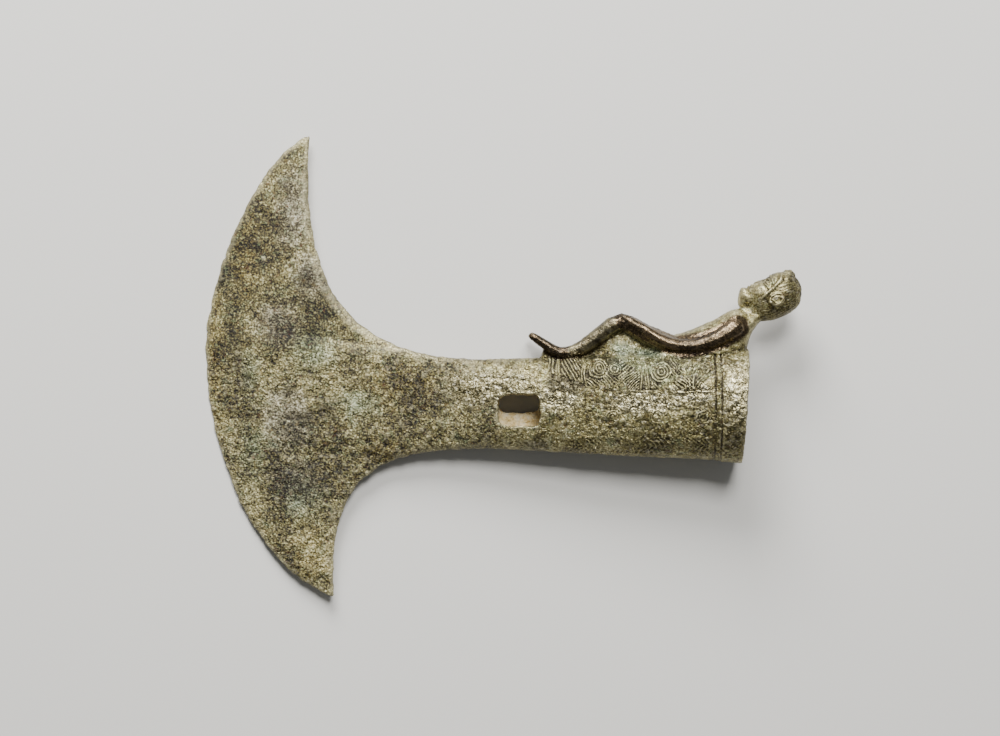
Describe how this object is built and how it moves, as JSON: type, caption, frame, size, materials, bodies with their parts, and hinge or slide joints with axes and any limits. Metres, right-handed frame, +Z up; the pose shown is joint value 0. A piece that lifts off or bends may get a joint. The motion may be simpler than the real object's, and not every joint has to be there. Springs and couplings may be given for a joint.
{
  "type": "bronze axe head",
  "caption": "Ancient cast bronze axe head: crescent blade with long horns, oval haft socket with a peg window, and a small figure lying along the socket's back.",
  "frame": {"origin": "middle of the bounding box's base, on the surface that the axe head lies on", "axes": "+Z up from the surface, +X from the cutting edge to the socket's mouth, +Y towards the figure's side"},
  "size_m": [0.1486, 0.115, 0.0224],
  "materials": {
    "bronze": "patinated cast tin bronze, matt, olive to grey-brown"
  },
  "bodies": {
    "root": {"axe_head": "bronze"}
  },
  "joints": []
}
